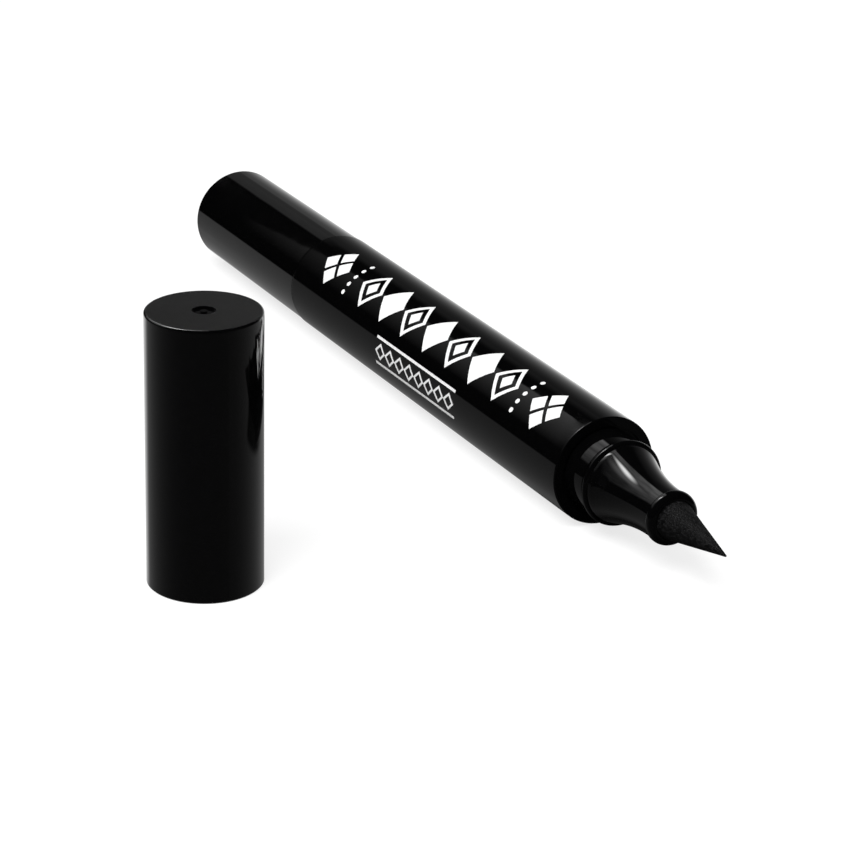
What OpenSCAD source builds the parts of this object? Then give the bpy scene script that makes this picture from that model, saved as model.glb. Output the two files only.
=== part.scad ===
// Double-ended liquid eyeliner pen, lying on its side with the liner cap taken off and stood beside it.
// The pen lies along X with the felt nib towards +X, and Z = 0 is the surface that it lies on.
// The origin is the middle of the whole group's box, on that surface.
// Sizes are in millimetres. Parts of either end are drawn upright, with their axis on Z and the end
// face of the barrel at Z = 0, and are then laid on the pen's axis.

/* [Barrel] */
// Outside diameter of the barrel
barrel_d = 13; // [11:0.1:18]
// Length of the barrel between its two end faces
barrel_l = 69.6; // [60:0.1:120]
// Wall of the barrel tube
barrel_wall = 1.1; // [0.8:0.05:1.6]
// Rounding of the barrel's outer end edges
barrel_edge = 0.15; // [0.05:0.05:0.4]

/* [Nose, both ends] */
// Length of the plug that each nose pushes into the barrel
plug_l = 9; // [6:0.1:12]
// Wall of the plug's hollow skirt
plug_wall = 1; // [0.7:0.05:1.4]
// How far the nose's shoulder lies inside the barrel's end face
plug_recess = 0.3; // [0.1:0.05:0.8]
// How far the collar is turned down from the plug, on the radius
collar_step = 0.48; // [0.3:0.02:1]
// Length of the collar that stands out of the barrel
collar_l = 2.95; // [2:0.05:5]
// Width of the groove between the collar and the snap bead
groove_w = 0.35; // [0.2:0.05:0.8]
// Depth of that groove below the collar
groove_depth = 0.18; // [0.1:0.02:0.4]
// Width of the snap bead
bead_w = 0.9; // [0.7:0.05:1.6]
// Height of the snap bead over the collar
bead_h = 0.2; // [0.1:0.02:0.4]
// Rounding of the snap bead's front edge
bead_round = 0.45; // [0.2:0.05:0.6]

/* [Liner end] */
// How far the flare starts below the top of the snap bead, on the radius
flare_step = 0.4; // [0.3:0.02:0.8]
// Wall of the nose round the nib at the neck
neck_wall = 0.8; // [0.6:0.02:1.2]
// Length of the flare from the snap bead to the neck
flare_l = 8.4; // [6:0.1:14]
// Length of the straight neck between the flare and the lip
neck_l = 0.8; // [0.4:0.1:2]
// Length of the lip
lip_l = 1.5; // [1.2:0.1:3]
// Height of the lip over the neck
lip_h = 0.08; // [0.06:0.02:0.4]
// Rounding of the lip's edges
lip_round = 0.5; // [0.2:0.05:0.58]
// Diameter of the nib's round shank
nib_d = 4.64; // [3.6:0.02:5]
// Length of the round shank that shows in front of the lip
nib_show_l = 0.5; // [0.2:0.1:3]
// Length of the nib's cone, from the shank to the tip
nib_cone_l = 10.4; // [6:0.1:14]
// Radius of the nib's rounded tip
nib_tip_r = 0.12; // [0.05:0.01:0.3]
// Depth that the nib's tail and the wick's tail reach into their reservoirs
tail_depth = 6; // [3:0.1:10]
// Height of the space between the nose's wall and the nib that lets air in
air_gap = 0.4; // [0.2:0.05:0.6]
// Number of vanes that hold the nib in the nose
vane_count = 4; // [3:1:6]
// Thickness of a vane
vane_w = 0.7; // [0.5:0.05:1.2]

/* [Stamp end] */
// Wall of the stamp head round the spigot that carries it
head_wall = 0.9; // [0.7:0.05:1.2]
// Length of the spigot
spigot_l = 4; // [3:0.1:6]
// Length of the cone between the snap bead and the spigot
stamp_cone_l = 1.3; // [0.8:0.1:3]
// Clearance between the stamp head and the chamber of the cap
head_clear = 0.4; // [0.3:0.05:0.8]
// Length of the stamp head along the axis, to the middle of its slanted face
head_l = 11.4; // [9:0.1:13]
// Angle between the slanted face and the pen's axis, in degrees
face_angle = 42; // [35:1:60]
// How far the slanted head's far edge is cut off square
head_blunt = 0.4; // [0.3:0.05:0.8]
// Rounding of the stamp head's edges
head_round = 0.3; // [0.1:0.05:0.5]
// Rim of the slanted face left round the pad's base
pad_rim = 1.1; // [0.8:0.05:1.4]
// Thickness of the pad's base, sunk level with the slanted face
pad_base_t = 0.7; // [0.4:0.05:0.8]
// Margin of the pad's base past the wing's heel and tip
wing_margin = 0.3; // [0.1:0.05:0.6]
// Widest place of the wing
wing_w = 3.4; // [2.5:0.1:4]
// Height that the wing stands out of the slanted face
wing_proud = 1.2; // [0.5:0.1:1.6]
// Diameter of the wick
wick_d = 3; // [2:0.1:3.6]

/* [Ink reservoirs] */
// Gap between a reservoir and the barrel's bore
reservoir_gap = 0.2; // [0.1:0.05:0.5]
// Thickness of the film round a reservoir
film_t = 0.15; // [0.1:0.05:0.3]
// Thickness of the divider's web
divider_web = 1.2; // [0.8:0.1:2.4]
// Length of the divider's skirt on each side of its web
divider_skirt_l = 2.4; // [1.5:0.1:5]
// Wall of the divider's skirt
divider_wall = 0.8; // [0.6:0.05:1.4]
// Diameter of the divider's middle posts
divider_post_d = 3; // [2:0.1:5]
// Width of the divider's two sealing lands
divider_land_w = 0.8; // [0.4:0.1:1.4]
// Height of the sealing lands over the skirt
divider_land_h = 0.12; // [0.06:0.02:0.3]

/* [Caps] */
// Length of a cap
cap_l = 31.2; // [28:0.1:50]
// How much smaller the cap's mouth is than the barrel, on the radius
cap_inset = 0.09; // [0.02:0.01:0.2]
// Draft of the cap from its mouth to its closed end, on the radius
cap_draft = 0.03; // [0:0.01:0.2]
// Wall of the cap shell at its mouth
cap_wall = 0.8; // [0.6:0.05:1]
// Thickness of the cap's closed end
cap_end_t = 1.3; // [0.8:0.1:2.5]
// Rounding of the closed end's edge
cap_edge = 0.3; // [0.1:0.05:0.6]
// Rounding of the mouth's outer edge
cap_mouth_edge = 0.15; // [0.05:0.05:0.3]
// Radius of the gate dimple in the closed end
dimple_r = 1.25; // [0.8:0.05:2]
// Depth of the gate dimple
dimple_depth = 0.25; // [0.1:0.05:0.6]
// Radius of the nub in the dimple
nub_r = 0.4; // [0.2:0.05:0.6]
// Height of the nub over the dimple's floor
nub_h = 0.2; // [0.1:0.05:0.5]
// Wall of the inner sleeve's chamber
sleeve_wall = 0.6; // [0.45:0.05:0.7]
// How far the inner sleeve lies inside the cap's mouth
sleeve_recess = 0.6; // [0.4:0.1:1]
// Length of the sleeve's sealing bore past the snap bead
seal_past = 1; // [0.5:0.1:2.5]
// How far the sleeve's chamber steps in from its sealing bore, on the radius
chamber_step = 0.85; // [0.75:0.05:1]
// Length of the cone between the sealing bore and the chamber
chamber_cone_l = 1.4; // [0.8:0.1:3]
// Number of fins that centre the inner sleeve in the cap
fin_count = 6; // [3:1:8]
// Thickness of a fin
fin_w = 0.7; // [0.5:0.05:1.2]

/* [Layout] */
// Distance from the pen's axis to the axis of the cap that stands beside it
cap_stand_off = 47.05; // [30:0.05:80]
// How far the standing cap is behind the barrel's front face
cap_stand_back = 4.95; // [-20:0.05:60]

/* [Hidden] */

// Clearances, and the overrun of every cut
plug_fit = 0.02;
nib_fit = 0.04;
spigot_fit = 0.02;
pad_fit = 0.03;
core_fit = 0.02;
end_fit = 0.1;
seal_fit = 0.05;
sleeve_fit = 0.02;
fin_fit = 0.05;
seam_gap = 0.08;
overrun = 1;

// Smoothness of round forms
$fn = 96;

// Where the hollow of a nose starts to narrow, as a share of the collar's length, and where it ends,
// as a share of the flare's length
hollow_start_share = 0.5;
hollow_end_share = 0.7;
// The wing's two arcs and its lowest place, as shares of its length
wing_belly_share = 1.6;
wing_hollow_share = 1.2;
wing_low_share = 0.25;

// Radii of the barrel and of what it holds
barrel_r = barrel_d / 2;
bore_r = barrel_r - barrel_wall;
plug_r = bore_r - plug_fit;
collar_r = plug_r - collar_step;
groove_r = collar_r - groove_depth;
bead_r = collar_r + bead_h;
flare_root_r = bead_r - flare_step;
film_r = bore_r - reservoir_gap;
core_r = film_r - film_t - core_fit;
skirt_r = plug_r - plug_wall;
nib_r = nib_d / 2;
mouth_r = nib_r + nib_fit;
air_r = nib_r + air_gap;
neck_r = nib_r + neck_wall;
wick_r = wick_d / 2;
seal_r = bead_r + seal_fit;
chamber_r = seal_r - chamber_step;
head_r = chamber_r - head_clear;
spigot_r = head_r - head_wall;

// Stations of the nose, from the barrel's end face outwards
bead_z = collar_l + groove_w;
flare_z = bead_z + bead_w;
neck_z = flare_z + flare_l;
lip_z = neck_z + neck_l;
lip_top_z = lip_z + lip_l;
nib_cone_z = lip_top_z + nib_show_l;
nib_tip_z = nib_cone_z + nib_cone_l;
spigot_z = flare_z + stamp_cone_l;
spigot_top_z = spigot_z + spigot_l;
head_mid_z = spigot_z + head_l;
face_rise = head_r / tan(face_angle) - head_blunt;
head_end_z = head_mid_z + face_rise;

// The pad's base on the slanted face, and the wing on it
pad_half_l = face_rise / cos(face_angle) - pad_rim;
pad_half_w = head_r - pad_rim;
wing_l = 2 * (pad_half_l - wing_margin);

// The flare is a round hollow that runs level into the neck
flare_drop = flare_root_r - neck_r;
flare_round = (flare_l * flare_l + flare_drop * flare_drop) / (2 * flare_drop);

// Stations of the reservoirs, from the barrel's end face inwards
reservoir_z = -plug_l - end_fit;
divider_l = divider_web + 2 * divider_skirt_l;
reservoir_l = barrel_l / 2 - divider_l / 2 - end_fit - plug_l - end_fit;
tail_z = reservoir_z - tail_depth;

// The cap and its inner sleeve, from the cap's mouth upwards
cap_r = barrel_r - cap_inset;
cap_top_r = cap_r - cap_draft;
cap_bore_r = cap_r - cap_wall;
cap_bore_top_r = cap_bore_r - cap_draft;
cap_depth = cap_l - cap_end_t;
sleeve_top_z = cap_depth - end_fit;
sleeve_l = sleeve_top_z - sleeve_recess;
seal_z = flare_z + seal_past;
chamber_top_z = sleeve_top_z - sleeve_wall;
sleeve_r = cap_bore_top_r - sleeve_fit;
chamber_out_r = chamber_r + sleeve_wall;

// Places in the group: the box is centred on the origin
group_l = cap_l + seam_gap + barrel_l + nib_tip_z;
front_x = group_l / 2 - nib_tip_z;
rear_x = front_x - barrel_l;
pen_y = (cap_stand_off + cap_r - barrel_r) / 2;
cap_y = pen_y - cap_stand_off;
cap_x = front_x - cap_stand_back;

// Colours
black_gloss = [0.03, 0.03, 0.032];
felt_black = [0.05, 0.05, 0.052];
ink_fibre = [0.16, 0.16, 0.17];
film_clear = [0.7, 0.76, 0.8];
natural_white = [0.88, 0.88, 0.85];
pad_black = [0.1, 0.1, 0.1];

// Lays an upright part on the pen's axis, its base at the barrel's front face, pointing to +X
module at_front() {
    translate([front_x, pen_y, barrel_r]) rotate([0, 90, 0]) children();
}

// The same at the barrel's rear face, pointing to -X
module at_rear() {
    translate([rear_x, pen_y, barrel_r]) rotate([0, -90, 0]) children();
}

// Outline of a band from z0 to z1 and from the axis out to radius r
module band_2d(r, z0, z1) {
    translate([0, z0]) square([r, z1 - z0]);
}

// The same with both outer corners rounded
module round_band_2d(r, z0, z1, round_r) {
    band_2d(r - round_r, z0, z1);
    band_2d(r, z0 + round_r, z1 - round_r);
    translate([r - round_r, z0 + round_r]) circle(round_r);
    translate([r - round_r, z1 - round_r]) circle(round_r);
}

// A barrel tube with rounded outer end edges
module tube_body() {
    difference() {
        rotate_extrude() round_band_2d(barrel_r, 0, barrel_l, barrel_edge);
        translate([0, 0, -overrun]) cylinder(r = bore_r, h = barrel_l + 2 * overrun);
    }
}

// Outline of the plug, collar, groove and snap bead that both noses share
module seat_2d() {
    band_2d(plug_r, -plug_l, -plug_recess);
    band_2d(collar_r, -plug_recess, collar_l);
    band_2d(groove_r, collar_l, bead_z);
    band_2d(bead_r - bead_round, bead_z, flare_z);
    band_2d(bead_r, bead_z, flare_z - bead_round);
    translate([bead_r - bead_round, flare_z - bead_round]) circle(bead_round);
}

// Outline of the liner nose outside: the seat, then the hollow flare, the neck and the rounded lip
module liner_nose_2d() {
    seat_2d();
    difference() {
        band_2d(flare_root_r, flare_z, neck_z);
        translate([neck_r + flare_round, neck_z]) circle(flare_round, $fn = 6 * $fn);
    }
    band_2d(neck_r, neck_z, lip_z + lip_round);
    round_band_2d(neck_r + lip_h, lip_z, lip_top_z, lip_round);
}

// Half outline of the liner nose's hollow: a wide skirt, then a cone down to the air space
module liner_hollow_2d() {
    polygon([
        [0, -plug_l - overrun],
        [skirt_r, -plug_l - overrun],
        [skirt_r, collar_l * hollow_start_share],
        [air_r, flare_z + flare_l * hollow_end_share],
        [air_r, lip_z],
        [0, lip_z]
    ]);
}

module liner_nose() {
    color(black_gloss) at_front() difference() {
        rotate_extrude() liner_nose_2d();
        difference() {
            rotate_extrude() liner_hollow_2d();
            for (i = [0 : vane_count - 1])
                rotate([0, 0, i * 360 / vane_count])
                    translate([0, -vane_w / 2, -plug_l + plug_wall])
                        cube([plug_r, vane_w, lip_z + plug_l]);
        }
        translate([0, 0, -plug_l - overrun]) cylinder(r = mouth_r, h = lip_top_z + plug_l + 2 * overrun);
    }
}

// The felt nib: a tail in the reservoir, a round shank, and a straight cone that runs into a round tip
module liner_nib() {
    tip_centre_z = nib_tip_z - nib_tip_r;
    slope_l = tip_centre_z - nib_cone_z;
    half_angle = atan(nib_r / slope_l) - asin(nib_tip_r / norm([nib_r, slope_l]));
    color(felt_black) at_front() rotate_extrude() {
        polygon([
            [0, tail_z],
            [nib_r - nib_tip_r, tail_z],
            [nib_r, tail_z + nib_tip_r],
            [nib_r, nib_cone_z],
            [nib_tip_r * cos(half_angle), tip_centre_z + nib_tip_r * sin(half_angle)],
            [0, tip_centre_z]
        ]);
        intersection() {
            translate([0, tip_centre_z]) circle(nib_tip_r);
            translate([0, tip_centre_z]) square(nib_tip_r);
        }
    }
}

// A fibre rod with a blind hole for the tail that feeds from it
module reservoir(tail_r) {
    difference() {
        translate([0, 0, reservoir_z - reservoir_l]) cylinder(r = core_r, h = reservoir_l);
        translate([0, 0, tail_z - end_fit])
            cylinder(r = tail_r + nib_fit, h = tail_depth + end_fit + overrun);
    }
}

// The film round a fibre rod
module reservoir_film() {
    difference() {
        translate([0, 0, reservoir_z - reservoir_l]) cylinder(r = film_r, h = reservoir_l);
        translate([0, 0, reservoir_z - reservoir_l - overrun])
            cylinder(r = film_r - film_t, h = reservoir_l + 2 * overrun);
    }
}

module liner_reservoir() {
    color(ink_fibre) at_front() reservoir(nib_r);
}

module liner_reservoir_film() {
    color(film_clear) at_front() reservoir_film();
}

module stamp_reservoir() {
    color(ink_fibre) at_rear() reservoir(wick_r);
}

module stamp_reservoir_film() {
    color(film_clear) at_rear() reservoir_film();
}

// Half of the divider's outline: the web's half, skirt, sealing land and middle post
module divider_half_2d() {
    skirt_out_r = plug_r - divider_land_h;
    half_l = divider_l / 2;
    band_2d(skirt_out_r, 0, divider_web / 2);
    translate([skirt_out_r - divider_wall, 0]) square([divider_wall, half_l]);
    translate([skirt_out_r - divider_wall, half_l - 2 * divider_land_w])
        square([divider_wall + divider_land_h, divider_land_w]);
    band_2d(divider_post_d / 2, 0, half_l);
}

module barrel_divider() {
    color(natural_white) at_front() translate([0, 0, -barrel_l / 2]) rotate_extrude() {
        divider_half_2d();
        mirror([0, 1]) divider_half_2d();
    }
}

module barrel() {
    color(black_gloss) at_front() translate([0, 0, -barrel_l]) tube_body();
}

// Outline of the stamp nose outside: the seat, a cone and the spigot
module stamp_nose_2d() {
    seat_2d();
    polygon([
        [0, flare_z],
        [flare_root_r, flare_z],
        [spigot_r, spigot_z],
        [0, spigot_z]
    ]);
    band_2d(spigot_r, spigot_z, spigot_top_z);
}

module stamp_nose() {
    color(black_gloss) at_rear() difference() {
        rotate_extrude() stamp_nose_2d();
        rotate_extrude() polygon([
            [0, -plug_l - overrun],
            [skirt_r, -plug_l - overrun],
            [skirt_r, collar_l * hollow_start_share],
            [wick_r, flare_z],
            [0, flare_z]
        ]);
        cylinder(r = wick_r + nib_fit, h = spigot_top_z + overrun);
    }
}

// Places something on the slanted face, its X running up the slope towards the barrel
module on_face() {
    translate([0, 0, head_mid_z]) rotate([0, 90 - face_angle, 0]) children();
}

// Everything over a plane at the given height above the slanted face
module over_face(height) {
    on_face() translate([-head_l, -head_l, height]) cube(2 * head_l);
}

// Outline of the pad's base: a bar with round ends, grown by the given clearance for its recess
module pad_base_2d(grow) {
    middle_l = pad_half_l - pad_half_w;
    translate([-middle_l, -pad_half_w - grow]) square([2 * middle_l, 2 * (pad_half_w + grow)]);
    for (side = [-1, 1])
        translate([side * middle_l, 0]) circle(pad_half_w + grow);
}

// Outline of the wing: a full lower edge, a hollow upper edge, a heel that follows the base's round
// end, and a sharp tip that points down the slope
module wing_2d() {
    half_l = wing_l / 2;
    half_w = wing_w / 2;
    low_x = -wing_l * wing_low_share;
    belly_r = wing_l * wing_belly_share;
    hollow_r = wing_l * wing_hollow_share;
    tip = [half_l, belly_r - half_w - sqrt(pow(belly_r, 2) - pow(half_l - low_x, 2))];
    heel = [-half_l, half_w];
    chord = tip - heel;
    hollow_up = [-chord[1], chord[0]] / norm(chord);
    hollow_centre = (tip + heel) / 2 + hollow_up * sqrt(pow(hollow_r, 2) - pow(norm(chord) / 2, 2));
    mirror([1, 0]) difference() {
        intersection() {
            pad_base_2d(-wing_margin);
            translate([-half_l, -half_w]) square([wing_l, wing_w]);
            translate([low_x, belly_r - half_w]) circle(belly_r);
        }
        translate(hollow_centre) circle(hollow_r);
    }
}

module stamp_head() {
    color(black_gloss) at_rear() difference() {
        rotate_extrude() round_band_2d(head_r, spigot_z, head_end_z, head_round);
        over_face(0);
        cylinder(r = spigot_r + spigot_fit, h = spigot_top_z + end_fit);
        cylinder(r = wick_r + nib_fit, h = head_mid_z + head_l);
        on_face() translate([0, 0, -pad_base_t - pad_fit])
            linear_extrude(pad_base_t + pad_fit + overrun) pad_base_2d(pad_fit);
    }
}

// The porous pad: its base lies in the slanted face and carries the raised wing
module stamp_pad() {
    color(pad_black) at_rear() on_face() {
        translate([0, 0, -pad_base_t]) linear_extrude(pad_base_t) pad_base_2d(0);
        translate([0, 0, -pad_base_t]) linear_extrude(pad_base_t + wing_proud) wing_2d();
    }
}

module stamp_wick() {
    color(felt_black) at_rear() difference() {
        translate([0, 0, tail_z]) cylinder(r = wick_r, h = head_mid_z + head_l - tail_z);
        over_face(-pad_base_t - pad_fit);
    }
}

// A cap shell standing on its mouth at the origin
module cap_shell() {
    difference() {
        rotate_extrude() difference() {
            union() {
                polygon([
                    [0, 0],
                    [cap_r - cap_mouth_edge, 0],
                    [cap_r, cap_mouth_edge],
                    [cap_top_r, cap_l - cap_edge],
                    [cap_top_r - cap_edge, cap_l],
                    [0, cap_l]
                ]);
                translate([cap_top_r - cap_edge, cap_l - cap_edge]) circle(cap_edge);
            }
            polygon([
                [0, -overrun],
                [cap_bore_r, -overrun],
                [cap_bore_r, 0],
                [cap_bore_top_r, cap_depth],
                [0, cap_depth]
            ]);
        }
        translate([0, 0, cap_l - dimple_depth]) difference() {
            cylinder(r = dimple_r, h = dimple_depth + overrun);
            cylinder(r = nub_r, h = nub_h);
        }
    }
}

// The inner sleeve of a cap: sealing bore, cone, chamber, and fins out to the shell
module cap_sleeve() {
    difference() {
        union() {
            translate([0, 0, sleeve_recess]) cylinder(r = sleeve_r, h = seal_z - sleeve_recess);
            translate([0, 0, seal_z]) cylinder(r1 = sleeve_r, r2 = chamber_out_r, h = chamber_cone_l);
            translate([0, 0, sleeve_recess]) cylinder(r = chamber_out_r, h = sleeve_l);
            for (i = [0 : fin_count - 1])
                rotate([0, 0, i * 360 / fin_count])
                    translate([0, -fin_w / 2, seal_z - fin_w])
                        cube([sleeve_r - fin_fit, fin_w, chamber_top_z - seal_z + fin_w]);
        }
        translate([0, 0, -overrun]) cylinder(r = seal_r, h = seal_z + overrun);
        translate([0, 0, seal_z]) cylinder(r1 = seal_r, r2 = chamber_r, h = chamber_cone_l);
        translate([0, 0, sleeve_recess]) cylinder(r = chamber_r, h = chamber_top_z - sleeve_recess);
    }
}

module front_cap_shell() {
    color(black_gloss) translate([cap_x, cap_y, 0]) cap_shell();
}

module front_cap_inner() {
    color(natural_white) translate([cap_x, cap_y, 0]) cap_sleeve();
}

module rear_cap_shell() {
    color(black_gloss) at_rear() translate([0, 0, seam_gap]) cap_shell();
}

module rear_cap_inner() {
    color(natural_white) at_rear() translate([0, 0, seam_gap]) cap_sleeve();
}

barrel();
barrel_divider();
liner_nose();
liner_nib();
liner_reservoir();
liner_reservoir_film();
stamp_nose();
stamp_head();
stamp_pad();
stamp_wick();
stamp_reservoir();
stamp_reservoir_film();
front_cap_shell();
front_cap_inner();
rear_cap_shell();
rear_cap_inner();
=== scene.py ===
# A double-ended liquid eyeliner pen and its two caps: finishes, liner nose, print, light and camera
import bpy
import bmesh
import math
from mathutils import Matrix, Vector


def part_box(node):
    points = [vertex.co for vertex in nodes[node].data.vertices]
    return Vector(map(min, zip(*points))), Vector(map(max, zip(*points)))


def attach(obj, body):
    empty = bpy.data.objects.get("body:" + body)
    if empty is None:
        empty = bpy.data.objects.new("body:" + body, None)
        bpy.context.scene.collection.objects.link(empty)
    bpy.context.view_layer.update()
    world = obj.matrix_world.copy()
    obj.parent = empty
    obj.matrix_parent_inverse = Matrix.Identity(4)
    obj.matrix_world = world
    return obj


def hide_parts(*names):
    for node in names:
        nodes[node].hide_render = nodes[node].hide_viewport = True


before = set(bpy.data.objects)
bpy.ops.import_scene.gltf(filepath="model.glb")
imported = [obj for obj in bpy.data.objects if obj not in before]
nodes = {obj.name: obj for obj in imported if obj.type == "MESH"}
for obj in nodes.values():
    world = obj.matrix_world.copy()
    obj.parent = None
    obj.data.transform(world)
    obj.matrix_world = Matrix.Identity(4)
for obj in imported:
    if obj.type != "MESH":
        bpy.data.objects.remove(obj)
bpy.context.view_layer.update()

MM = 0.001

# Camera, as the photograph was taken
VIEW_AZIMUTH = math.radians(62.231)
VIEW_ELEVATION = math.radians(22.023)
VIEW_ROLL = math.radians(1.262)
VIEW_DISTANCE = 385.7 * MM
VIEW_TARGET = Vector((1.89, 18.89, 0.0)) * MM
LENS_MM = 133.77
SENSOR_MM = 36.0
CLIP_NEAR = 0.01
CLIP_FAR = 20.0

# A pair or four of values below is a soft step: where it starts and ends, then what it goes from and to

# Studio world as a mirror shows it. Levels are of light, where 1 is white, and places are sines of angles
AMBIENT_LEVEL = 0.5
FLOOR_DIM = 0.022
FLOOR_GAIN = 0.205
FLOOR_TURN_SHARE = 0.54
FLOOR_TURN_START = 0.5
FLOOR_HORIZON = (-0.08, -0.105)
PATCH_GAIN = 0.52
PATCH_TURN = math.radians(165.0)
PATCH_EDGE = (0.77, 0.94)
PATCH_FAR_END = (-0.05, -0.30)
PATCH_NEAR_END = (-0.455, -0.41)
SWEEP_LEVEL = 0.30
SWEEP_FALL = 0.022
SWEEP_SIDES = (0.55, 0.75)
SWEEP_FOOT = (-0.33, -0.24)
SWEEP_TOP = (0.74, 0.58)
SWEEP_LEFT = (-0.31, -0.25, 0.0, 0.9)
SWEEP_RIGHT = (0.0, 0.18, 0.0, 0.6)
BEHIND_LEAST = 0.05

# Side card: places are mm along the pen and degrees up the barrel, where the card is mirrored in it
CARD_STEPS = 24
SIDE_CARD_REACH = 260.0 * MM
SIDE_CARD_ALONG = (-67.0, 39.0)
SIDE_CARD_ANGLES = (31.0, 84.0)
BAND_SLOPE = (-58.0, 40.0, 0.001, 0.0148)
BAND_REAR_END = (-52.0, -46.0)
BAND_TOP = 61.5
BAND_TOP_RISE = 0.13
BAND_TOP_EDGE = (0.6, -0.6)
BAND_BEND = -28.0
BAND_BEND_DROP = 0.6
CORNER_ALONG = 34.3
CORNER_ANGLE = 57.0
CORNER_LONG = 2.9
CORNER_TALL = 9.0
CORNER_EDGE = (1.04, 0.96)
CAP_GLOW = (70.5, 73.5, 0.0, 0.072)
CAP_GLOW_END = (-29.0, -34.0)
BARREL_GLOW = (74.0, 84.0, 0.0, 0.064)
BARREL_GLOW_END = (-34.0, -29.0)

# Top card: places are degrees to the right of the camera's bearing and up, seen from the liner nose
TOP_CARD_REACH = 500.0 * MM
TOP_CARD_TURNS = (-168.0, -76.0)
TOP_CARD_RISES = (20.0, 80.0)
TOP_LEFT_EDGE = (-167.5, -163.0)
TOP_RIGHT_EDGE = (-76.0, -84.0)
TOP_FOOT_EDGE = (20.0, 27.0)
TOP_LEVEL = (-84.0, -160.0, 0.16, 0.95)
TOP_PATCHES = (0.09, 2.0)
TOP_PATCH_LEVEL = (0.25, 0.7, 0.6, 1.3)
SPARK_TURN = -121.5
SPARK_RISE = 61.0
SPARK_RUN = (0.86, 0.51)
SPARK_LONG = 13.0
SPARK_WIDE = 15.0
SPARK_LEVEL = (1.1, 0.1, 0.0, 15.0)
GLOW_RUN = 8.0
GLOW_OFF = 14.0
GLOW_LONG = 20.0
GLOW_WIDE = 13.0
GLOW_LEVEL = (1.2, 0.2, 0.0, 1.2)

# Painted shade on the mirrored floor: its reach from the nose's front end and the pen's axis, and its soft
# edges
SHADE_LEVEL = 0.9
SHADE_BACK = 38.0 * MM
SHADE_FRONT = 8.0 * MM
SHADE_NEAR = 6.0 * MM
SHADE_FAR = 16.0 * MM
SHADE_LIFT = 0.02 * MM
SHADE_BACK_SOFT = 22.0 * MM
SHADE_FRONT_SOFT = 6.0 * MM
SHADE_NEAR_SOFT = 3.5 * MM
SHADE_FAR_SOFT = 6.0 * MM

# Floor and lamp, in metres and watts
FLOOR_HALF = 3.0
FLOOR_CORNERS = ((-1, -1), (1, -1), (1, 1), (-1, 1))
FLOOR_GLOW = 0.76
FLOOR_PAINT = 0.30
KEY_PLACE = (0.25, -0.35, 0.65)
KEY_POWER = 6.0
KEY_SIZE = 0.5

# Gloss plastic. A noise is its scale per metre, its detail and its roughness
SMEAR_NOISE = (260.0, 4.0, 0.6)
SMEAR_ROUGHNESS = (0.3, 0.8, 0.035, 0.085)
HAIR_STRETCH = (300.0, 5200.0, 5200.0)
HAIR_NOISE = (1.0, 2.0)
HAIR_ROUGHNESS = (0.68, 0.74, 0.0, 0.06)
WAVE_NOISE = (150.0, 1.0)
WAVE_DEPTH = 0.010 * MM
CAP_WAVE_DEPTH = 0.016 * MM
SPECK_NOISE = (900.0, 3.0)
GLOSS_DARK = (0.0008, 0.0008, 0.0009)
GLOSS_LIGHT = (0.0016, 0.0016, 0.0017)
GLOSS_IOR = 1.5
COAT_ROUGHNESS = 0.05
SATIN_FACING = (0.75, 0.97)
SATIN_HOLE = (1.15 * MM, 1.40 * MM)
SATIN_NOISE = (6000.0, 2.0)
SATIN_DEPTH = 0.004 * MM
SATIN_ROUGHNESS = 0.34

# Felt and fibre
CLUMP_NOISE = (3800.0, 3.0, 0.65)
CLUMP_EDGE = (0.42, 0.66)
CLUMP_DEPTH = 0.08 * MM
FIBRE_STRETCH = (0.35, 1.0, 1.0)
FIBRE_NOISE = (9000.0, 2.0)
FIBRE_DEPTH = 0.02 * MM
FELT_ROUGHNESS = (0.35, 0.7, 0.62, 0.95)
FELT_IOR = 1.4
NIB_DARK = (0.0012, 0.0012, 0.0013)
NIB_LIGHT = (0.009, 0.009, 0.0094)
NIB_GRAIN = (0.5, 1.0, 1.0)
CORE_DARK = (0.008, 0.008, 0.009)
CORE_LIGHT = (0.05, 0.05, 0.052)
CORE_GRAIN = (0.1, 1.0, 1.0)

# Milky plastic
FLOW_STRETCH = (1.0, 3.0, 3.0)
FLOW_NOISE = (180.0, 3.0)
MILKY_DARK = (0.74, 0.74, 0.70)
MILKY_LIGHT = (0.83, 0.83, 0.80)
MILKY_ROUGHNESS = (0.3, 0.7, 0.30, 0.46)
MILKY_SCATTER = 0.25
MILKY_SCATTER_DEPTH = 0.8 * MM
WAX_NOISE = (1500.0, 2.0)
WAX_DEPTH = 0.01 * MM

# Clear film
CREASE_STRETCH = (0.2, 1.0, 1.0)
CREASE_NOISE = (1500.0, 2.0)
CREASE_DEPTH = 0.05 * MM
FILM_DARK = (0.62, 0.67, 0.71)
FILM_LIGHT = (0.80, 0.84, 0.88)
FILM_ROUGHNESS = (0.3, 0.7, 0.06, 0.2)
FILM_ALPHA = 0.35

# Stamp rubber
PORE_SCALE = 5200.0
PORE_EDGE = (0.05, 0.45)
PORE_DEPTH = 0.04 * MM
RUBBER_DARK = (0.006, 0.006, 0.0065)
RUBBER_LIGHT = (0.024, 0.024, 0.025)
RUBBER_SCALE = 1200.0
RUBBER_ROUGHNESS = (0.3, 0.7, 0.48, 0.72)

# White ink
THIN_NOISE = (2400.0, 4.0, 0.7)
THIN_EDGE = (0.3, 0.6)
INK_DARK = (0.78, 0.78, 0.78)
INK_LIGHT = (0.93, 0.93, 0.93)
INK_DEPTH = 0.006 * MM
INK_ROUGHNESS = (0.3, 0.7, 0.34, 0.5)

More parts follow.
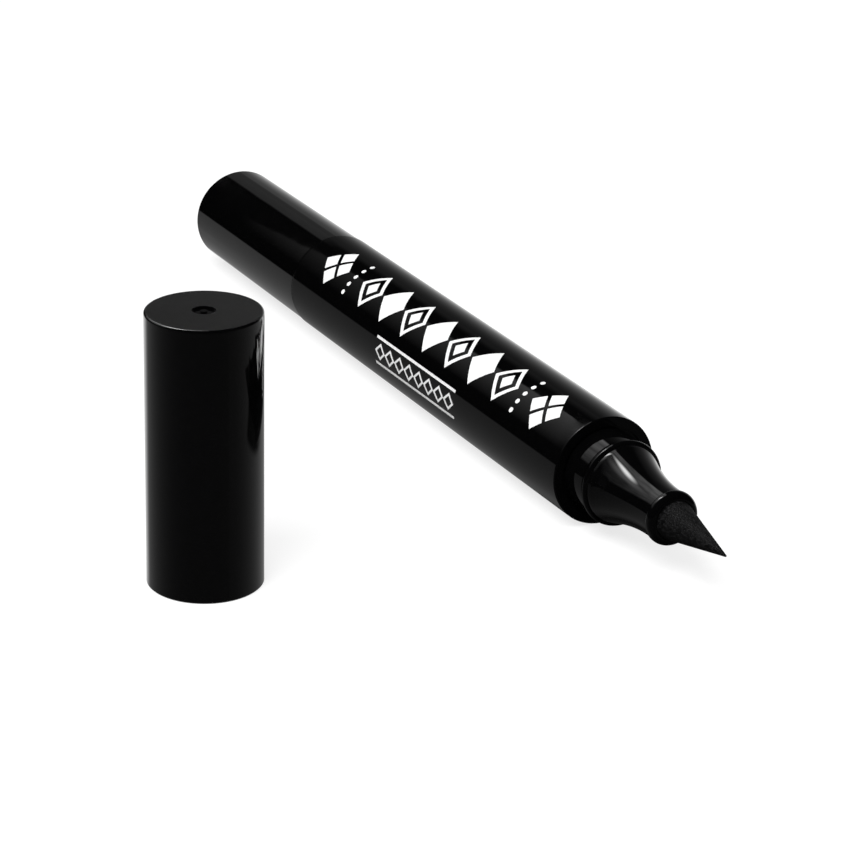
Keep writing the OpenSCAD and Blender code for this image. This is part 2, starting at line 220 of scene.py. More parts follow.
# Liner nose: places along it from the barrel's end face, and radii
NOSE_PLUG_START = -9.0 * MM
NOSE_PLUG_STOP = -0.3 * MM
NOSE_PLUG_R = 5.38 * MM
NOSE_HOLLOW_STOP = -1.0 * MM
NOSE_HOLLOW_R = 4.3 * MM
NOSE_BORE_R = 2.38 * MM
COLLAR_STOP = 3.15 * MM
COLLAR_BACK_R = 5.05 * MM
COLLAR_FRONT_R = 4.78 * MM
BEAD_PLACE = 3.95 * MM
BEAD_FOOT_R = 4.72 * MM
BEAD_ROUND = 0.42 * MM
FLARE_START = 4.5 * MM
FLARE_R = 4.7 * MM
NECK_PLACE = 13.3 * MM
NECK_R = 3.04 * MM
LIP_START = 14.2 * MM
LIP_PLACE = 14.6 * MM
LIP_R = 3.21 * MM
LIP_BACK_ROUND = 0.3 * MM
LIP_BACK_ANGLE = 155.0
ARC_STEPS = 12
FLARE_STEPS = 28
TURN_STEPS = 180
WELD = 0.001 * MM
SHARP_ANGLE = math.radians(30.0)

# Ornament printed on the barrel: places along the pen and angles up from the side of the standing cap
INK_THICK = 0.02 * MM
INK_SINK = 0.03 * MM
INK_STEP = 0.35 * MM
ROW_START = -14.4 * MM
ROW_PITCH = 5.86 * MM
ROW_COUNT = 7
ROW_ANGLE = math.radians(57.5)
LOZENGE_WIDE = 5.3 * MM
LOZENGE_TALL = 6.0 * MM
FRAME_INSIDE = 0.74
FRAME_HEART = 0.40
DOT_PLACES = (-19.2 * MM, 25.1 * MM)
DOT_PITCH = 1.25 * MM
DOT_COUNT = 5
DOT_R = 0.33 * MM
DOT_SIDES = 20
END_PLACES = (-24.3 * MM, 30.0 * MM)
END_SPREAD = 1.75 * MM
END_HALF = 1.38 * MM
BORDER_START = -7.5 * MM
BORDER_STOP = 13.2 * MM
BORDER_ANGLE = math.radians(2.0)
BORDER_GAP = 1.7 * MM
BORDER_STROKE = 0.34 * MM
CHAIN_COUNT = 8
CHAIN_TALL = 2.2 * MM
CHAIN_INSIDE = 0.66
FOUR_WAYS = ((1, 0), (0, 1), (-1, 0), (0, -1))

toward_camera = Vector((math.sin(VIEW_AZIMUTH), -math.cos(VIEW_AZIMUTH), 0.0))
rightward = Vector((math.cos(VIEW_AZIMUTH), math.sin(VIEW_AZIMUTH), 0.0))
camera_back = toward_camera * math.cos(VIEW_ELEVATION) + Vector((0.0, 0.0, math.sin(VIEW_ELEVATION)))
camera_place = VIEW_TARGET + camera_back * VIEW_DISTANCE

barrel_lo, barrel_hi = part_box("barrel")
barrel_r = (barrel_hi.y - barrel_lo.y) / 2
pen_y = (barrel_hi.y + barrel_lo.y) / 2
pen_z = (barrel_hi.z + barrel_lo.z) / 2


def turned(turn):
    """The level direction turned this far to the right of the camera's bearing."""
    return toward_camera * math.cos(turn) + rightward * math.sin(turn)


class Graph:
    """Short calls that add linked nodes to a node tree."""

    def __init__(self, tree):
        self.tree = tree
        tree.nodes.clear()

    def add(self, kind, sockets=None, **settings):
        """A node with these settings, whose sockets take these values or links."""
        node = self.tree.nodes.new(kind)
        for key, value in settings.items():
            setattr(node, key, value)
        for key, value in (sockets or {}).items():
            self.feed(node.inputs[key], value)
        return node

    def feed(self, socket, value):
        """Links a socket to another socket, or sets its value."""
        if isinstance(value, bpy.types.NodeSocket):
            self.tree.links.new(value, socket)
        else:
            socket.default_value = value

    def math(self, operation, a, b):
        return self.add("ShaderNodeMath", {0: a, 1: b}, operation=operation).outputs[0]

    def vector(self, operation, a, b):
        """A vector sum, product or the like; a dot product gives a number."""
        node = self.add("ShaderNodeVectorMath", {0: a, 1: b}, operation=operation)
        return node.outputs["Value" if operation == "DOT_PRODUCT" else "Vector"]

    def ramp(self, value, low, high, out_low=0.0, out_high=1.0):
        """A soft step from out_low to out_high, as the value goes from low to high."""
        sockets = {0: value, 1: low, 2: high, 3: out_low, 4: out_high}
        return self.add("ShaderNodeMapRange", sockets, interpolation_type="SMOOTHSTEP").outputs[0]

    def noise(self, where, scale, detail=3.0, roughness=0.5):
        sockets = {"Vector": where, "Scale": scale, "Detail": detail, "Roughness": roughness}
        return self.add("ShaderNodeTexNoise", sockets).outputs[0]

    def oval(self, a, b, centre_a, centre_b, half_a, half_b):
        """How far a, b lies from a centre, as a share of the oval's half widths."""
        share = self.add("ShaderNodeCombineXYZ")
        self.feed(share.inputs[0], self.math("DIVIDE", self.math("SUBTRACT", a, centre_a), half_a))
        self.feed(share.inputs[1], self.math("DIVIDE", self.math("SUBTRACT", b, centre_b), half_b))
        return self.add("ShaderNodeVectorMath", {0: share.outputs[0]}, operation="LENGTH").outputs["Value"]

    def stretch(self, where, factors):
        return self.vector("MULTIPLY", where, factors)

    def tint(self, amount, dark, light):
        """A colour between dark and light."""
        node = self.add("ShaderNodeMix", data_type="RGBA")
        self.feed(node.inputs[0], amount)
        self.feed(node.inputs[6], (*dark, 1.0))
        self.feed(node.inputs[7], (*light, 1.0))
        return node.outputs[2]

    def bump(self, height, distance, under=None):
        """A bumped normal of this depth, on top of another normal where one is given."""
        node = self.add("ShaderNodeBump", {"Height": height, "Strength": 1.0, "Distance": distance})
        if under is not None:
            self.feed(node.inputs["Normal"], under)
        return node.outputs["Normal"]


def new_material(name):
    """A new material with an empty graph."""
    material = bpy.data.materials.new(name)
    material.use_nodes = True
    return material, Graph(material.node_tree)


def finish_surface(graph, **sockets):
    """A Principled surface with these sockets, wired to the material's output."""
    names = {key.replace("_", " "): value for key, value in sockets.items()}
    surface = graph.add("ShaderNodeBsdfPrincipled", names)
    graph.add("ShaderNodeOutputMaterial", {"Surface": surface.outputs[0]})


def gloss_plastic(name, satin_axis=None, centre=None, coat=0.0, wave=WAVE_DEPTH):
    """Polished black plastic with slow moulding waves, faint smears and hairline scratches. With an
    axis and a centre, the end that faces along the axis is satin outside its gate dimple."""
    material, graph = new_material(name)
    place = graph.add("ShaderNodeTexCoord").outputs["Object"]
    smear = graph.noise(place, *SMEAR_NOISE)
    hairs = graph.noise(graph.stretch(place, HAIR_STRETCH), *HAIR_NOISE)
    roughness = graph.ramp(smear, *SMEAR_ROUGHNESS)
    scratched = graph.ramp(hairs, *HAIR_ROUGHNESS)
    roughness = graph.math("ADD", roughness, scratched)
    waves = graph.noise(place, *WAVE_NOISE)
    normal = graph.bump(waves, wave)
    if satin_axis is not None:
        facing = graph.vector("DOT_PRODUCT", graph.add("ShaderNodeTexCoord").outputs["Normal"], satin_axis)
        satin = graph.ramp(facing, *SATIN_FACING)
        offset = graph.vector("CROSS_PRODUCT", graph.vector("SUBTRACT", place, centre), satin_axis)
        away = graph.add("ShaderNodeVectorMath", {0: offset}, operation="LENGTH").outputs["Value"]
        satin = graph.math("MULTIPLY", satin, graph.ramp(away, *SATIN_HOLE))
        grain = graph.noise(place, *SATIN_NOISE)
        normal = graph.bump(graph.math("MULTIPLY", grain, satin), SATIN_DEPTH, normal)
        roughness = graph.math("ADD", roughness, graph.math("MULTIPLY", satin, SATIN_ROUGHNESS))
    specks = graph.noise(place, *SPECK_NOISE)
    colour = graph.tint(specks, GLOSS_DARK, GLOSS_LIGHT)
    finish_surface(
        graph,
        Base_Color=colour,
        Roughness=roughness,
        IOR=GLOSS_IOR,
        Coat_Weight=coat,
        Coat_Roughness=COAT_ROUGHNESS,
        Coat_IOR=GLOSS_IOR,
        Normal=normal,
        Coat_Normal=normal,
    )
    return material


def felt(name, dark=NIB_DARK, light=NIB_LIGHT, along=NIB_GRAIN):
    """Bonded fibre soaked with black ink: mottled, matt, with a grain along the pen."""
    material, graph = new_material(name)
    place = graph.stretch(graph.add("ShaderNodeTexCoord").outputs["Object"], along)
    clumps = graph.noise(place, *CLUMP_NOISE)
    fibres = graph.noise(graph.stretch(place, FIBRE_STRETCH), *FIBRE_NOISE)
    mottle = graph.ramp(clumps, *CLUMP_EDGE)
    colour = graph.tint(mottle, dark, light)
    normal = graph.bump(clumps, CLUMP_DEPTH)
    normal = graph.bump(fibres, FIBRE_DEPTH, normal)
    roughness = graph.ramp(clumps, *FELT_ROUGHNESS)
    finish_surface(graph, Base_Color=colour, Roughness=roughness, IOR=FELT_IOR, Normal=normal)
    return material


def milky_plastic(name):
    """Natural polypropylene: milky, slightly waxy, with faint flow marks."""
    material, graph = new_material(name)
    place = graph.add("ShaderNodeTexCoord").outputs["Object"]
    flow = graph.noise(graph.stretch(place, FLOW_STRETCH), *FLOW_NOISE)
    colour = graph.tint(flow, MILKY_DARK, MILKY_LIGHT)
    normal = graph.bump(graph.noise(place, *WAX_NOISE), WAX_DEPTH)
    roughness = graph.ramp(flow, *MILKY_ROUGHNESS)
    finish_surface(
        graph,
        Base_Color=colour,
        Roughness=roughness,
        Subsurface_Weight=MILKY_SCATTER,
        Subsurface_Scale=MILKY_SCATTER_DEPTH,
        Normal=normal,
    )
    return material


def film(name):
    """Thin clear film with long creases."""
    material, graph = new_material(name)
    place = graph.add("ShaderNodeTexCoord").outputs["Object"]
    creases = graph.noise(graph.stretch(place, CREASE_STRETCH), *CREASE_NOISE)
    normal = graph.bump(creases, CREASE_DEPTH)
    colour = graph.tint(creases, FILM_DARK, FILM_LIGHT)
    roughness = graph.ramp(creases, *FILM_ROUGHNESS)
    finish_surface(graph, Base_Color=colour, Roughness=roughness, Alpha=FILM_ALPHA, Normal=normal)
    return material


def rubber(name):
    """Fine porous stamp rubber, matt, with open pores."""
    material, graph = new_material(name)
    place = graph.add("ShaderNodeTexCoord").outputs["Object"]
    pores = graph.add("ShaderNodeTexVoronoi", {"Vector": place, "Scale": PORE_SCALE}).outputs["Distance"]
    open_pore = graph.ramp(pores, *PORE_EDGE)
    colour = graph.tint(open_pore, RUBBER_DARK, RUBBER_LIGHT)
    normal = graph.bump(open_pore, PORE_DEPTH)
    roughness = graph.ramp(graph.noise(place, RUBBER_SCALE), *RUBBER_ROUGHNESS)
    finish_surface(graph, Base_Color=colour, Roughness=roughness, Normal=normal)
    return material


def ink(name):
    """White screen print with a faint mesh and thin spots."""
    material, graph = new_material(name)
    place = graph.add("ShaderNodeTexCoord").outputs["Object"]
    thin = graph.noise(place, *THIN_NOISE)
    colour = graph.tint(graph.ramp(thin, *THIN_EDGE), INK_DARK, INK_LIGHT)
    normal = graph.bump(thin, INK_DEPTH)
    roughness = graph.ramp(thin, *INK_ROUGHNESS)
    finish_surface(graph, Base_Color=colour, Roughness=roughness, Normal=normal)
    return material


def middle(node):
    """The middle of a CAD node's box."""
    low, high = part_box(node)
    return (low + high) / 2


def dress_nodes():
    """Gives each CAD node the finish of its piece."""
    along_pen = Vector((-1.0, 0.0, 0.0))
    upright = Vector((0.0, 0.0, 1.0))
    front_end = middle("front_cap_shell")
    rear_end = middle("rear_cap_shell")
    gloss = gloss_plastic("barrel_plastic")
    nose = gloss_plastic("nose_plastic")
    milky = milky_plastic("inner_cap_plastic")
    fibre = felt("reservoir_fibre", CORE_DARK, CORE_LIGHT, CORE_GRAIN)
    clear = film("reservoir_film")
    finishes = {
        "barrel": gloss,
        "barrel_divider": milky_plastic("divider_plastic"),
        "liner_nose": nose,
        "liner_nib": felt("nib_felt"),
        "liner_reservoir": fibre,
        "liner_reservoir_film": clear,
        "stamp_nose": nose,
        "stamp_head": gloss_plastic("stamp_head_plastic"),
        "stamp_pad": rubber("stamp_rubber"),
        "stamp_wick": felt("wick_fibre"),
        "stamp_reservoir": fibre,
        "stamp_reservoir_film": clear,
        "front_cap_shell": gloss_plastic("front_cap_plastic", upright, front_end, 1.0, CAP_WAVE_DEPTH),
        "front_cap_inner": milky,
        "rear_cap_shell": gloss_plastic("rear_cap_plastic", along_pen, rear_end, 1.0, CAP_WAVE_DEPTH),
        "rear_cap_inner": milky,
    }
    for name, finish in finishes.items():
        slots = nodes[name].data.materials
        slots.clear()
        slots.append(finish)


def studio_world():
    """White for the camera; in reflections a dim floor and a sweep behind the object that fades upwards."""
    world = bpy.data.worlds.new("studio")
    bpy.context.scene.world = world
    world.use_nodes = True
    graph = Graph(world.node_tree)
    sight = graph.add("ShaderNodeTexCoord").outputs["Generated"]
    height = graph.add("ShaderNodeSeparateXYZ", {0: sight}).outputs["Z"]
    behind = graph.vector("DOT_PRODUCT", sight, -toward_camera)
    spread = graph.math("ADD", graph.math("MULTIPLY", behind, FLOOR_TURN_SHARE), FLOOR_TURN_START)
    floor = graph.math("MULTIPLY", graph.math("MULTIPLY", spread, spread), FLOOR_GAIN)
    floor = graph.math("ADD", floor, FLOOR_DIM)
    patch = graph.vector("DOT_PRODUCT", sight, turned(-PATCH_TURN))
    patch = graph.ramp(patch, *PATCH_EDGE, 0.0, PATCH_GAIN)
    patch = graph.math("MULTIPLY", patch, graph.ramp(height, *PATCH_FAR_END))
    patch = graph.math("MULTIPLY", patch, graph.ramp(height, *PATCH_NEAR_END))
    floor = graph.math("ADD", floor, patch)
    floor = graph.math("MULTIPLY", floor, graph.ramp(height, *FLOOR_HORIZON))
    aside = graph.vector("DOT_PRODUCT", sight, rightward)
    aside = graph.math("DIVIDE", aside, graph.math("MAXIMUM", behind, BEHIND_LEAST))
    lean = graph.ramp(aside, *SWEEP_LEFT)
    lean = graph.math("ADD", lean, graph.ramp(aside, *SWEEP_RIGHT))
    sweep = graph.math("MULTIPLY", graph.math("POWER", SWEEP_FALL, height), SWEEP_LEVEL)
    sweep = graph.math("MULTIPLY", sweep, lean)
    sweep = graph.math("MULTIPLY", sweep, graph.ramp(behind, *SWEEP_SIDES))
    sweep = graph.math("MULTIPLY", sweep, graph.ramp(height, *SWEEP_FOOT))
    sweep = graph.math("MULTIPLY", sweep, graph.ramp(height, *SWEEP_TOP))
    mirror = graph.math("MAXIMUM", floor, sweep)
    path = graph.add("ShaderNodeLightPath").outputs
    level = graph.math("MULTIPLY", path["Is Glossy Ray"], graph.math("SUBTRACT", mirror, AMBIENT_LEVEL))
    level = graph.math("ADD", level, AMBIENT_LEVEL)
    level = graph.math("MAXIMUM", level, path["Is Camera Ray"])
    background = graph.add("ShaderNodeBackground", {"Color": (1.0, 1.0, 1.0, 1.0), "Strength": level})
    graph.add("ShaderNodeOutputWorld", {"Surface": background.outputs[0]})


def link(obj):
    """Puts an object into the scene."""
    bpy.context.scene.collection.objects.link(obj)
    return obj


def mesh_object(name, corners, faces):
    """A new object from corners and faces."""
    mesh = bpy.data.meshes.new(name)
    mesh.from_pydata([tuple(c) for c in corners], [], faces)
    mesh.update()
    return link(bpy.data.objects.new(name, mesh))


def only_in_reflections(card):
    """Hides a card from the camera, from diffuse light and from shadows, so that only mirrors show it."""
    card.visible_camera = False
    card.visible_diffuse = False
    card.visible_shadow = False


def glow_card(name, spot, across, up, paint):
    """A glowing curved card seen only in reflections. spot(u, v) places its points and paint(graph, u, v)
    gives their level."""
    corners = []
    places = []
    for k in range(CARD_STEPS + 1):
        for j in range(CARD_STEPS + 1):
            u = across[0] + (across[1] - across[0]) * j / CARD_STEPS
            v = up[0] + (up[1] - up[0]) * k / CARD_STEPS
            corners.append(spot(u, v))
            places.append((u, v))
    faces = []
    for k in range(CARD_STEPS):
        for j in range(CARD_STEPS):
            first = k * (CARD_STEPS + 1) + j
            faces.append([first, first + 1, first + CARD_STEPS + 2, first + CARD_STEPS + 1])
    card = mesh_object(name, corners, faces)
    layer = card.data.uv_layers.new(name="card")
    for loop, uv in zip(card.data.loops, layer.data):
        uv.uv = places[loop.vertex_index]
    material, graph = new_material(name + "_light")
    place = graph.add("ShaderNodeTexCoord").outputs["UV"]
    u, v, _ = graph.add("ShaderNodeSeparateXYZ", {0: place}).outputs
    strength = graph.math("MAXIMUM", paint(graph, u, v), 0.0)
    light = graph.add("ShaderNodeEmission", {"Strength": strength})
    graph.add("ShaderNodeOutputMaterial", {"Surface": light.outputs[0]})
    card.data.materials.append(material)
    only_in_reflections(card)


def mirrored_spot(along, angle):
    """Where the camera's line of sight goes after the barrel mirrors it, at mm along and degrees up it."""
    angle = math.radians(angle)
    outward = Vector((0.0, -math.cos(angle), math.sin(angle)))
    spot = Vector((along * MM, pen_y, pen_z)) + outward * barrel_r
    sight = (spot - camera_place).normalized()
    return spot + sight.reflect(outward) * SIDE_CARD_REACH


def side_card():
    """The card mirrored as a long soft band in the upper side of the barrel, brightest at the liner end."""

    def paint(graph, along, angle):
        slope = graph.ramp(along, *BAND_SLOPE)
        slope = graph.math("MULTIPLY", slope, graph.ramp(along, *BAND_REAR_END))
        level = graph.math("MULTIPLY", graph.math("SUBTRACT", angle, SIDE_CARD_ANGLES[0]), slope)
        edge = graph.math("ADD", graph.math("MULTIPLY", along, BAND_TOP_RISE), BAND_TOP)
        far = graph.math("MAXIMUM", graph.math("SUBTRACT", BAND_BEND, along), 0.0)
        edge = graph.math("SUBTRACT", edge, graph.math("MULTIPLY", far, BAND_BEND_DROP))
        over = graph.math("SUBTRACT", angle, edge)
        level = graph.math("MULTIPLY", level, graph.ramp(over, *BAND_TOP_EDGE))
        cap_glow = graph.ramp(angle, *CAP_GLOW)
        cap_glow = graph.math("MULTIPLY", cap_glow, graph.ramp(along, *CAP_GLOW_END))
        barrel_glow = graph.ramp(angle, *BARREL_GLOW)
        barrel_glow = graph.math("MULTIPLY", barrel_glow, graph.ramp(along, *BARREL_GLOW_END))
        above = graph.math("ADD", cap_glow, barrel_glow)
        past = graph.math("MAXIMUM", along, CORNER_ALONG)
        risen = graph.math("MAXIMUM", angle, CORNER_ANGLE)
        corner = graph.oval(past, risen, CORNER_ALONG, CORNER_ANGLE, CORNER_LONG, CORNER_TALL)
        corner = graph.ramp(corner, *CORNER_EDGE)
        return graph.math("ADD", graph.math("MULTIPLY", level, corner), above)

    glow_card("side_card", mirrored_spot, SIDE_CARD_ALONG, SIDE_CARD_ANGLES, paint)


def top_card():
    """A card over the liner end, with a small bright lamp in it, that only the tapered nose mirrors."""
    nose_lo, nose_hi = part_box("liner_nose")
    centre = (nose_lo + nose_hi) / 2
    run_turn, run_rise = SPARK_RUN

    def spot(turn, rise):
        turn = math.radians(turn)
        rise = math.radians(rise)
        outward = turned(turn) * math.cos(rise) + Vector((0.0, 0.0, math.sin(rise)))
        return centre + outward * TOP_CARD_REACH

    def paint(graph, turn, rise):
        sides = graph.math("MULTIPLY", graph.ramp(turn, *TOP_LEFT_EDGE), graph.ramp(turn, *TOP_RIGHT_EDGE))
        level = graph.math("MULTIPLY", sides, graph.ramp(turn, *TOP_LEVEL))
        level = graph.math("MULTIPLY", level, graph.ramp(rise, *TOP_FOOT_EDGE))
        patches = graph.add("ShaderNodeCombineXYZ", {0: turn, 1: rise}).outputs[0]
        patches = graph.ramp(graph.noise(patches, *TOP_PATCHES), *TOP_PATCH_LEVEL)
        level = graph.math("MULTIPLY", level, patches)
        turn = graph.math("SUBTRACT", turn, SPARK_TURN)
        rise = graph.math("SUBTRACT", rise, SPARK_RISE)
        run = graph.math("MULTIPLY", turn, run_turn)
        run = graph.math("ADD", run, graph.math("MULTIPLY", rise, run_rise))
        off = graph.math("MULTIPLY", turn, run_rise)
        off = graph.math("SUBTRACT", off, graph.math("MULTIPLY", rise, run_turn))
        spark = graph.ramp(graph.oval(run, off, 0.0, 0.0, SPARK_LONG, SPARK_WIDE), *SPARK_LEVEL)
        glow = graph.ramp(graph.oval(run, off, GLOW_RUN, GLOW_OFF, GLOW_LONG, GLOW_WIDE), *GLOW_LEVEL)
        return graph.math("ADD", level, graph.math("ADD", spark, glow))

    glow_card("top_card", spot, TOP_CARD_TURNS, TOP_CARD_RISES, paint)


def shade_card():
    """A dark sheet painted as the pen's own soft shadow on the floor under its liner end, seen only in
    reflections.
    """
    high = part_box("liner_nose")[1]
    left = high.x - SHADE_BACK
    right = high.x + SHADE_FRONT
    near = pen_y - SHADE_NEAR
    far = pen_y + SHADE_FAR
    outline = ((left, near), (right, near), (right, far), (left, far))
    card = mesh_object("floor_shade", [(x, y, SHADE_LIFT) for x, y in outline], [(0, 1, 2, 3)])
    material, graph = new_material("floor_painted_shade")
    place = graph.add("ShaderNodeTexCoord").outputs["Object"]
    x, y, _ = graph.add("ShaderNodeSeparateXYZ", {0: place}).outputs
    share = graph.ramp(x, left, left + SHADE_BACK_SOFT, 0.0, SHADE_LEVEL)
    share = graph.math("MULTIPLY", share, graph.ramp(x, right, right - SHADE_FRONT_SOFT))
    share = graph.math("MULTIPLY", share, graph.ramp(y, near, near + SHADE_NEAR_SOFT))
    share = graph.math("MULTIPLY", share, graph.ramp(y, far, far - SHADE_FAR_SOFT))
    # Black where the painted shadow is full, clear at its soft edges
    clear = graph.add("ShaderNodeBsdfTransparent")
    dark = graph.add("ShaderNodeEmission", {"Strength": 0.0})
    both = graph.add("ShaderNodeMixShader", {0: share, 1: clear.outputs[0], 2: dark.outputs[0]})
    graph.add("ShaderNodeOutputMaterial", {"Surface": both.outputs[0]})
    card.data.materials.append(material)
    only_in_reflections(card)


def floor_sheet():
    """A pale floor that stays white for the camera and still takes a soft shadow."""
    corners = [(along * FLOOR_HALF, across * FLOOR_HALF, 0.0) for along, across in FLOOR_CORNERS]
    floor = mesh_object("floor", corners, [(0, 1, 2, 3)])
    material, graph = new_material("floor_paper")
    path = graph.add("ShaderNodeLightPath").outputs
    glow = graph.math("MULTIPLY", path["Is Camera Ray"], FLOOR_GLOW)
    glow = graph.add("ShaderNodeEmission", {"Strength": glow})
    paper = graph.add("ShaderNodeBsdfDiffuse", {"Color": (FLOOR_PAINT, FLOOR_PAINT, FLOOR_PAINT, 1.0)})
    both = graph.add("ShaderNodeAddShader", {0: glow.outputs[0], 1: paper.outputs[0]})
    graph.add("ShaderNodeOutputMaterial", {"Surface": both.outputs[0]})
    floor.data.materials.append(material)
    floor.visible_glossy = False


def lamp(name, place, power, size):
    """A large soft lamp over the object that doesn't show in reflections."""
    light = bpy.data.lights.new(name, "AREA")
    light.shape = "DISK"
    light.size = size
    light.energy = power
    obj = link(bpy.data.objects.new(name, light))
    obj.location = place
    obj.rotation_mode = "QUATERNION"
    obj.rotation_quaternion = (-Vector(place)).to_track_quat("-Z", "Y")
    obj.visible_glossy = False
    obj.visible_camera = False


def camera():
    """The camera at the photograph's angle."""
    data = bpy.data.cameras.new("camera")
    data.sensor_width = SENSOR_MM
    data.lens = LENS_MM
    data.clip_start = CLIP_NEAR
    data.clip_end = CLIP_FAR
    obj = link(bpy.data.objects.new("camera", data))
    level_up = camera_back.cross(rightward)
    right = rightward * math.cos(VIEW_ROLL) + level_up * math.sin(VIEW_ROLL)
    up = camera_back.cross(right)
    turn = Matrix((right, up, camera_back)).transposed()
    obj.matrix_world = Matrix.Translation(camera_place) @ turn.to_4x4()
    bpy.context.scene.camera = obj


def arc_points(along, radius, size, start, stop, steps):
    """Points on a round of this size about (along, radius), angles from the forward direction outwards."""
    points = []
    for k in range(steps + 1):
        angle = math.radians(start + (stop - start) * k / steps)
        points.append((along + size * math.cos(angle), radius + size * math.sin(angle)))
    return points


def nose_outline():
    """The liner nose in section: plug, tapered collar, snap bead, hollow flare, neck, lip and bore."""
    outline = [(NOSE_PLUG_START, NOSE_PLUG_R), (NOSE_PLUG_STOP, NOSE_PLUG_R)]
    outline += [(NOSE_PLUG_STOP, COLLAR_BACK_R), (0.0, COLLAR_BACK_R)]
    outline += [(COLLAR_STOP, COLLAR_FRONT_R), (COLLAR_STOP, BEAD_FOOT_R)]
    outline += arc_points(BEAD_PLACE, BEAD_FOOT_R, BEAD_ROUND, 180.0, 0.0, ARC_STEPS)
    length = NECK_PLACE - FLARE_START
    drop = FLARE_R - NECK_R
    round_r = (length * length + drop * drop) / (2 * drop)
    sweep = math.degrees(math.asin(length / round_r))
    outline += arc_points(NECK_PLACE, NECK_R + round_r, round_r, 270.0 - sweep, 270.0, FLARE_STEPS)
    back = LIP_BACK_ROUND
    outline += arc_points(LIP_START + back, LIP_R - back, back, LIP_BACK_ANGLE, 90.0, ARC_STEPS)
    outline += arc_points(LIP_PLACE, NOSE_BORE_R, LIP_R - NOSE_BORE_R, 90.0, 0.0, ARC_STEPS)
    outline += [(NOSE_HOLLOW_STOP, NOSE_BORE_R), (NOSE_HOLLOW_STOP, NOSE_HOLLOW_R)]
    return outline + [(NOSE_PLUG_START, NOSE_HOLLOW_R)]


def liner_nose(finish):
    """The liner nose turned from its outline, with the collar's draft that the photograph shows."""
    outline = nose_outline()
    corners = []
    for k in range(TURN_STEPS):
        turn = 2.0 * math.pi * k / TURN_STEPS
        for along, radius in outline:
            y = pen_y - radius * math.cos(turn)
            z = pen_z + radius * math.sin(turn)
            corners.append((barrel_hi.x + along, y, z))
    count = len(outline)
    faces = []
    for k in range(TURN_STEPS):
        here = k * count
        there = (k + 1) % TURN_STEPS * count
        for j in range(count):
            after = (j + 1) % count
            faces.append([here + j, there + j, there + after, here + after])
    piece = mesh_object("nose_moulding", corners, faces)
    welded = bmesh.new()
    welded.from_mesh(piece.data)
    bmesh.ops.remove_doubles(welded, verts=welded.verts[:], dist=WELD)
    bmesh.ops.recalc_face_normals(welded, faces=welded.faces[:])
    welded.to_mesh(piece.data)
    welded.free()
    piece.data.shade_smooth()
    piece.data.set_sharp_from_angle(angle=SHARP_ANGLE)
    piece.data.materials.append(finish)
    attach(piece, "pen")
    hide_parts("liner_nose")


def printed_mesh(name, outlines, finish):
    """Flat outlines of (length, arc) points, cut into narrow strips and wrapped as a skin on the barrel."""
    flat = bmesh.new()
    for outline in outlines:
        flat.faces.new([flat.verts.new((along, arc, 0.0)) for along, arc in outline])
    bmesh.ops.remove_doubles(flat, verts=flat.verts[:], dist=WELD)
    arcs = [vert.co.y for vert in flat.verts]
    cut = min(arcs) + INK_STEP
    while cut < max(arcs):
        everything = flat.verts[:] + flat.edges[:] + flat.faces[:]
        bmesh.ops.bisect_plane(flat, geom=everything, plane_co=(0.0, cut, 0.0), plane_no=(0.0, 1.0, 0.0))
        cut += INK_STEP
    flat.verts.index_update()
    count = len(flat.verts)
    corners = []
    for radius in (barrel_r + INK_THICK, barrel_r - INK_SINK):
        for vert in flat.verts:
            angle = vert.co.y / barrel_r
            y = pen_y - radius * math.cos(angle)
            z = pen_z + radius * math.sin(angle)
            corners.append((vert.co.x, y, z))
    faces = []
    for face in flat.faces:
        loop = [vert.index for vert in face.verts]
        faces.append(loop)
        faces.append([index + count for index in reversed(loop)])
        for side in face.loops:
            if side.edge.is_boundary:
                start = side.vert.index
                stop = side.link_loop_next.vert.index
                faces.append([start + count, stop + count, stop, start])
    flat.free()
    piece = mesh_object(name, corners, faces)
    piece.data.shade_smooth()
    piece.data.set_sharp_from_angle(angle=SHARP_ANGLE)
    piece.data.materials.append(finish)
    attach(piece, "pen")
    return piece


def lozenge(centre, half_wide, half_tall, share=1.0):
    """The corners of a lozenge, counterclockwise."""
    along, arc = centre
    return [(along + a * half_wide * share, arc + b * half_tall * share) for a, b in FOUR_WAYS]


def ring_of(outer, inner):
    """The four sides between two lozenges."""
    sides = []
    for k in range(4):
        after = (k + 1) % 4
        sides.append([outer[k], outer[after], inner[after], inner[k]])
    return sides


def framed_lozenge(centre, half_wide, half_tall):
    """A lozenge drawn as an open frame with a small solid heart."""
    outer = lozenge(centre, half_wide, half_tall)
    inner = lozenge(centre, half_wide, half_tall, FRAME_INSIDE)
    return [lozenge(centre, half_wide, half_tall, FRAME_HEART)] + ring_of(outer, inner)


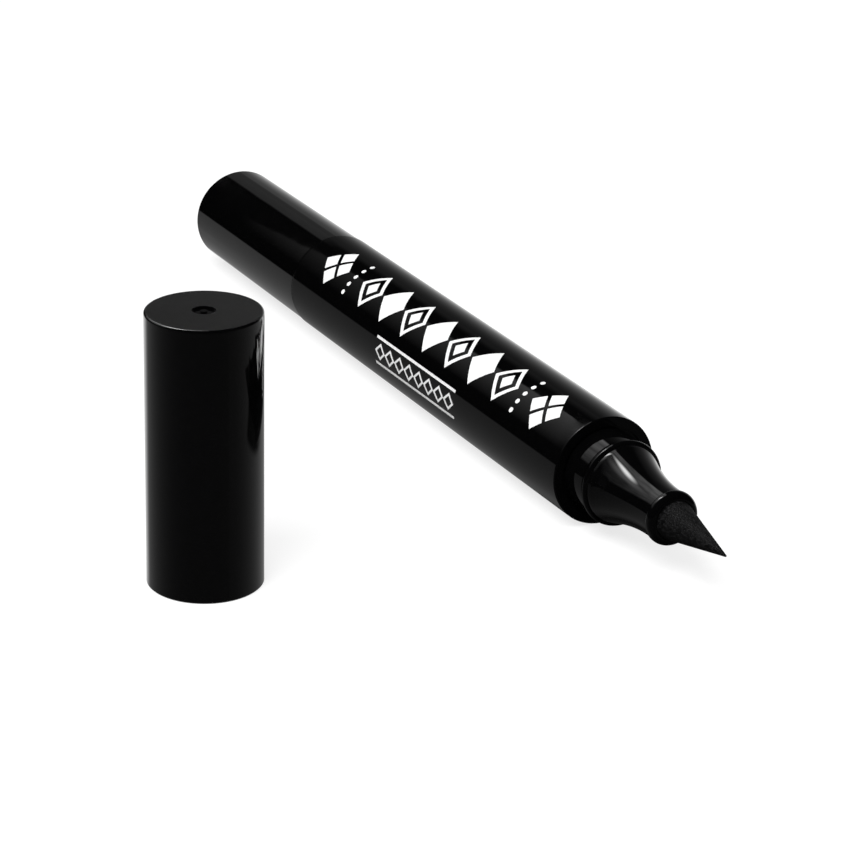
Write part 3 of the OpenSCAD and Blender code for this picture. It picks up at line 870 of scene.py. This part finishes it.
def print_row(finish):
    """A row of lozenges, solid and framed in turn."""
    outlines = []
    arc = ROW_ANGLE * barrel_r
    for k in range(ROW_COUNT):
        centre = (ROW_START + k * ROW_PITCH, arc)
        if k % 2 == 0:
            outlines += framed_lozenge(centre, LOZENGE_WIDE / 2, LOZENGE_TALL / 2)
        else:
            outlines.append(lozenge(centre, LOZENGE_WIDE / 2, LOZENGE_TALL / 2))
    printed_mesh("print_row", outlines, finish)


def print_ends(finish):
    """Four small lozenges at each end of the row, and a column of dots beside them."""
    outlines = []
    arc = ROW_ANGLE * barrel_r
    for along in END_PLACES:
        for step, rise in FOUR_WAYS:
            centre = (along + step * END_SPREAD, arc + rise * END_SPREAD)
            outlines.append(lozenge(centre, END_HALF, END_HALF))
    turns = [2.0 * math.pi * corner / DOT_SIDES for corner in range(DOT_SIDES)]
    for along in DOT_PLACES:
        for k in range(DOT_COUNT):
            height = arc + (k - (DOT_COUNT - 1) / 2) * DOT_PITCH
            outlines.append([(along + DOT_R * math.cos(t), height + DOT_R * math.sin(t)) for t in turns])
    printed_mesh("print_ends", outlines, finish)


def print_border(finish):
    """A chain of small open lozenges between two thin lines, below the row."""
    arc = BORDER_ANGLE * barrel_r
    outlines = []
    for side in (-1, 1):
        low = arc + side * BORDER_GAP - BORDER_STROKE / 2
        high = low + BORDER_STROKE
        outline = ((BORDER_START, low), (BORDER_STOP, low), (BORDER_STOP, high), (BORDER_START, high))
        outlines.append(outline)
    pitch = (BORDER_STOP - BORDER_START) / CHAIN_COUNT
    for k in range(CHAIN_COUNT):
        centre = (BORDER_START + (k + 0.5) * pitch, arc)
        outer = lozenge(centre, pitch / 2, CHAIN_TALL / 2)
        inner = lozenge(centre, pitch / 2, CHAIN_TALL / 2, CHAIN_INSIDE)
        outlines += ring_of(outer, inner)
    printed_mesh("print_border", outlines, finish)


camera()
studio_world()
floor_sheet()
side_card()
top_card()
shade_card()
lamp("key_lamp", KEY_PLACE, KEY_POWER, KEY_SIZE)
dress_nodes()
liner_nose(nodes["liner_nose"].data.materials[0])
white_ink = ink("white_ink")
print_row(white_ink)
print_ends(white_ink)
print_border(white_ink)

bpy.context.scene.view_settings.view_transform = "Standard"
